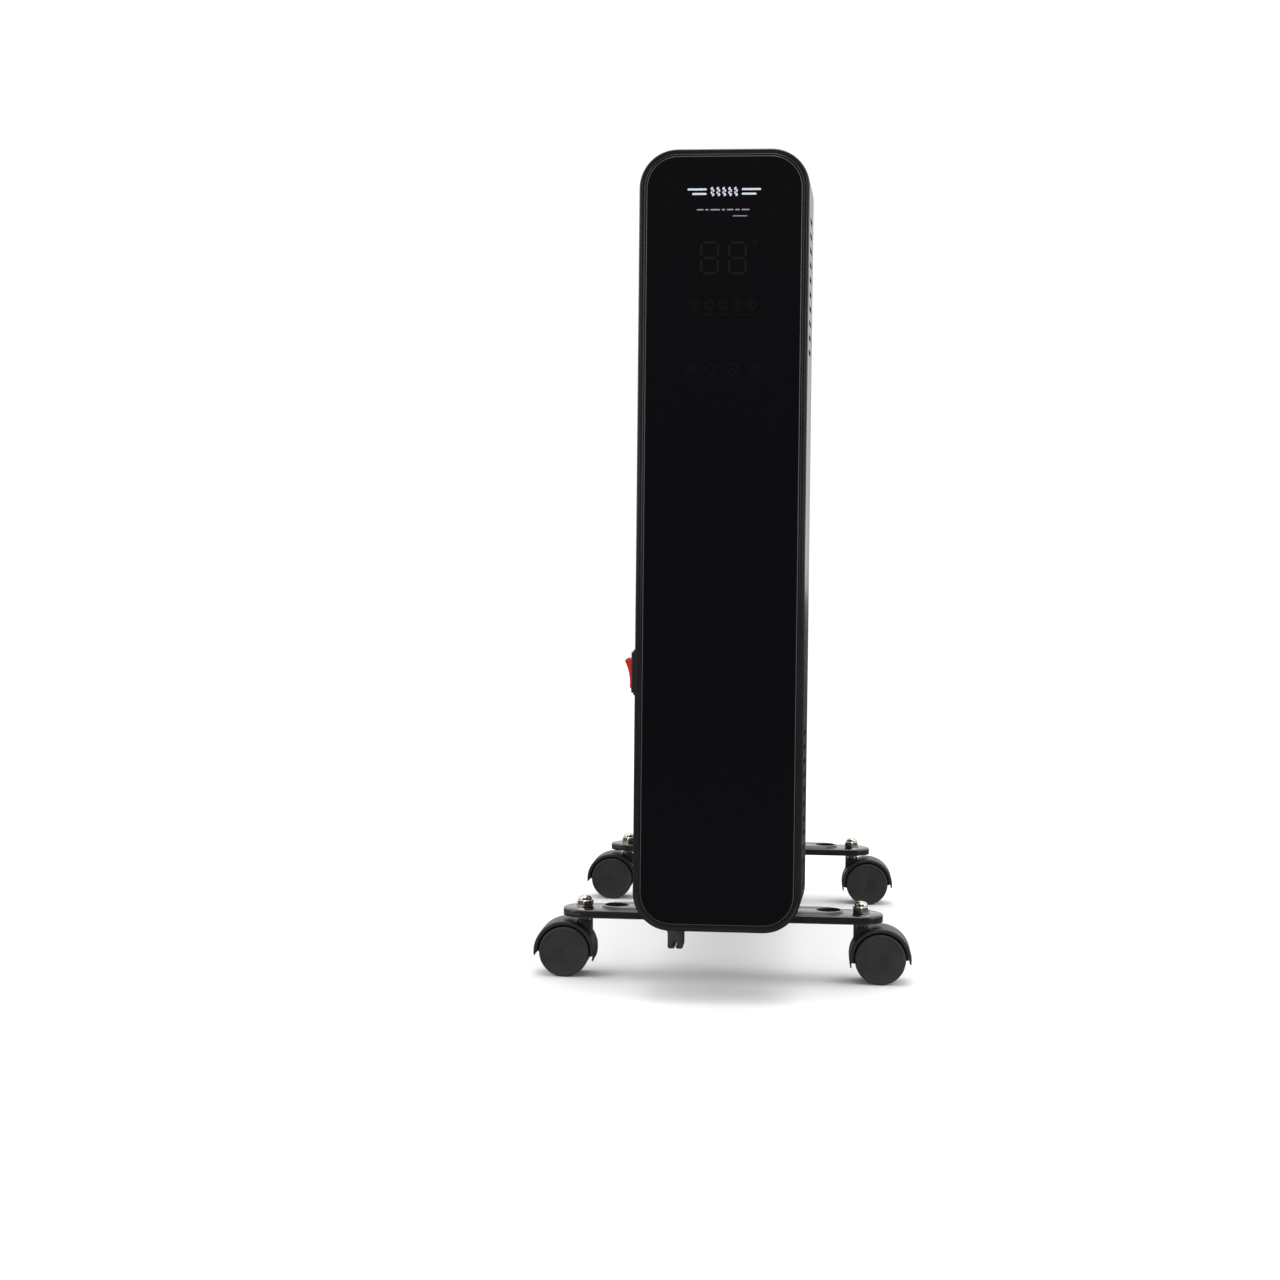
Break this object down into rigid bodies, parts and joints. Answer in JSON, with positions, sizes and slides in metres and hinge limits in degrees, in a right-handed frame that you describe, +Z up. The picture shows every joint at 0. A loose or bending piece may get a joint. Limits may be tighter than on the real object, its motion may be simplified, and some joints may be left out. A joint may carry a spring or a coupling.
{
  "type": "oil filled radiator heater",
  "caption": "Upright oil filled column radiator with a black glass control panel, side rocker switch and pressed foot bars on swivel casters.",
  "frame": {"origin": "on the floor, under the middle of the whole object's bounding box", "axes": "+Z up, the glass panel faces -Y, +X to the right of someone facing the panel, fins follow each other along +Y"},
  "size_m": [0.3064, 0.5366, 0.6483],
  "materials": {
    "black_glass": "polished tempered glass, painted near-black behind",
    "gloss_black": "high gloss moulded plastic",
    "housing_black": "gloss moulded plastic",
    "zinc_sheet": "galvanised sheet",
    "zinc_steel": "zinc plated",
    "circuit_board": "solder mask",
    "display_module": "smoked",
    "relay_case": "moulded",
    "switch_black": "satin moulded",
    "switch_red": "translucent red",
    "brass_terminal": "plain",
    "clip_black": "satin moulded",
    "fin_black": "gloss powder coat",
    "element_steel": "drawn steel tube",
    "gasket_rubber": "matt",
    "bar_black": "gloss powder coat",
    "nickel_nut": "bright nickel plate",
    "caster_black": "satin moulded nylon",
    "wheel_black": "satin moulded nylon"
  },
  "bodies": {
    "radiator": {"cap_nuts": "nickel_nut", "caster_stems": "zinc_steel", "control_housing": "housing_black", "cord_clip": "clip_black", "cord_gland": "switch_black", "display_board": "circuit_board", "element_flange": "brass_terminal", "element_gasket": "gasket_rubber", "fin_01": "fin_black", "fin_02": "fin_black", "fin_03": "fin_black", "fin_04": "fin_black", "fin_05": "fin_black", "fin_06": "fin_black", "fin_07": "fin_black", "fin_08": "fin_black", "fin_09": "fin_black", "fin_10": "fin_black", "fin_11": "fin_black", "front_foot_bar": "bar_black", "front_u_bolt": "zinc_steel", "glass_panel": "black_glass", "heating_element": "element_steel", "housing_back_plate": "zinc_sheet", "housing_screws": "zinc_steel", "hub_end_caps": "fin_black", "hub_saddles": "bar_black", "led_display": "display_module", "oil_fill_plug": "zinc_steel", "panel_bezel": "gloss_black", "power_board": "circuit_board", "rear_foot_bar": "bar_black", "rear_u_bolt": "zinc_steel", "relays": "relay_case", "switch_frame": "switch_black", "switch_terminals": "brass_terminal", "thermal_cutout": "zinc_steel", "tip_switch_body": "relay_case", "touch_springs": "zinc_steel", "u_bolt_nuts": "zinc_steel"},
    "front_left_caster": {"front_left_caster_fork": "caster_black", "front_left_axle": "zinc_steel"},
    "front_left_wheel_inner": {"front_left_wheel_inner": "wheel_black"},
    "front_left_wheel_outer": {"front_left_wheel_outer": "wheel_black"},
    "front_right_caster": {"front_right_caster_fork": "caster_black", "front_right_axle": "zinc_steel"},
    "front_right_wheel_inner": {"front_right_wheel_inner": "wheel_black"},
    "front_right_wheel_outer": {"front_right_wheel_outer": "wheel_black"},
    "rear_left_caster": {"rear_left_caster_fork": "caster_black", "rear_left_axle": "zinc_steel"},
    "rear_left_wheel_inner": {"rear_left_wheel_inner": "wheel_black"},
    "rear_left_wheel_outer": {"rear_left_wheel_outer": "wheel_black"},
    "rear_right_caster": {"rear_right_caster_fork": "caster_black", "rear_right_axle": "zinc_steel"},
    "rear_right_wheel_inner": {"rear_right_wheel_inner": "wheel_black"},
    "rear_right_wheel_outer": {"rear_right_wheel_outer": "wheel_black"},
    "rocker": {"rocker_lever": "switch_red"},
    "tip_pendulum": {"tip_switch_pendulum": "zinc_steel"}
  },
  "joints": [
    {"name": "front_left_swivel", "type": "hinge", "parent": "radiator", "child": "front_left_caster", "pos_m": [-0.1124, -0.1617, 0.04], "axis": [0, 0, 1], "continuous": true},
    {"name": "front_left_inner_spin", "type": "hinge", "parent": "front_left_caster", "child": "front_left_wheel_inner", "pos_m": [-0.128, -0.15145, 0.0205], "axis": [0, 1, 0], "continuous": true},
    {"name": "front_left_outer_spin", "type": "hinge", "parent": "front_left_caster", "child": "front_left_wheel_outer", "pos_m": [-0.128, -0.17195, 0.0205], "axis": [0, 1, 0], "continuous": true},
    {"name": "front_right_swivel", "type": "hinge", "parent": "radiator", "child": "front_right_caster", "pos_m": [0.1124, -0.1617, 0.04], "axis": [0, 0, 1], "continuous": true},
    {"name": "front_right_inner_spin", "type": "hinge", "parent": "front_right_caster", "child": "front_right_wheel_inner", "pos_m": [0.128, -0.15145, 0.0205], "axis": [0, 1, 0], "continuous": true},
    {"name": "front_right_outer_spin", "type": "hinge", "parent": "front_right_caster", "child": "front_right_wheel_outer", "pos_m": [0.128, -0.17195, 0.0205], "axis": [0, 1, 0], "continuous": true},
    {"name": "rear_left_swivel", "type": "hinge", "parent": "radiator", "child": "rear_left_caster", "pos_m": [-0.1124, 0.2253, 0.04], "axis": [0, 0, 1], "continuous": true},
    {"name": "rear_left_inner_spin", "type": "hinge", "parent": "rear_left_caster", "child": "rear_left_wheel_inner", "pos_m": [-0.128, 0.23555, 0.0205], "axis": [0, 1, 0], "continuous": true},
    {"name": "rear_left_outer_spin", "type": "hinge", "parent": "rear_left_caster", "child": "rear_left_wheel_outer", "pos_m": [-0.128, 0.21505, 0.0205], "axis": [0, 1, 0], "continuous": true},
    {"name": "rear_right_swivel", "type": "hinge", "parent": "radiator", "child": "rear_right_caster", "pos_m": [0.1124, 0.2253, 0.04], "axis": [0, 0, 1], "continuous": true},
    {"name": "rear_right_inner_spin", "type": "hinge", "parent": "rear_right_caster", "child": "rear_right_wheel_inner", "pos_m": [0.128, 0.23555, 0.0205], "axis": [0, 1, 0], "continuous": true},
    {"name": "rear_right_outer_spin", "type": "hinge", "parent": "rear_right_caster", "child": "rear_right_wheel_outer", "pos_m": [0.128, 0.21505, 0.0205], "axis": [0, 1, 0], "continuous": true},
    {"name": "rocker_press", "type": "hinge", "parent": "radiator", "child": "rocker", "pos_m": [-0.0636, -0.2383, 0.2526], "axis": [0, 1, 0], "range_deg": [0, 22]},
    {"name": "tip_swing", "type": "hinge", "parent": "radiator", "child": "tip_pendulum", "pos_m": [0.025, -0.2147, 0.188], "axis": [0, 1, 0], "range_deg": [-15, 15]}
  ]
}
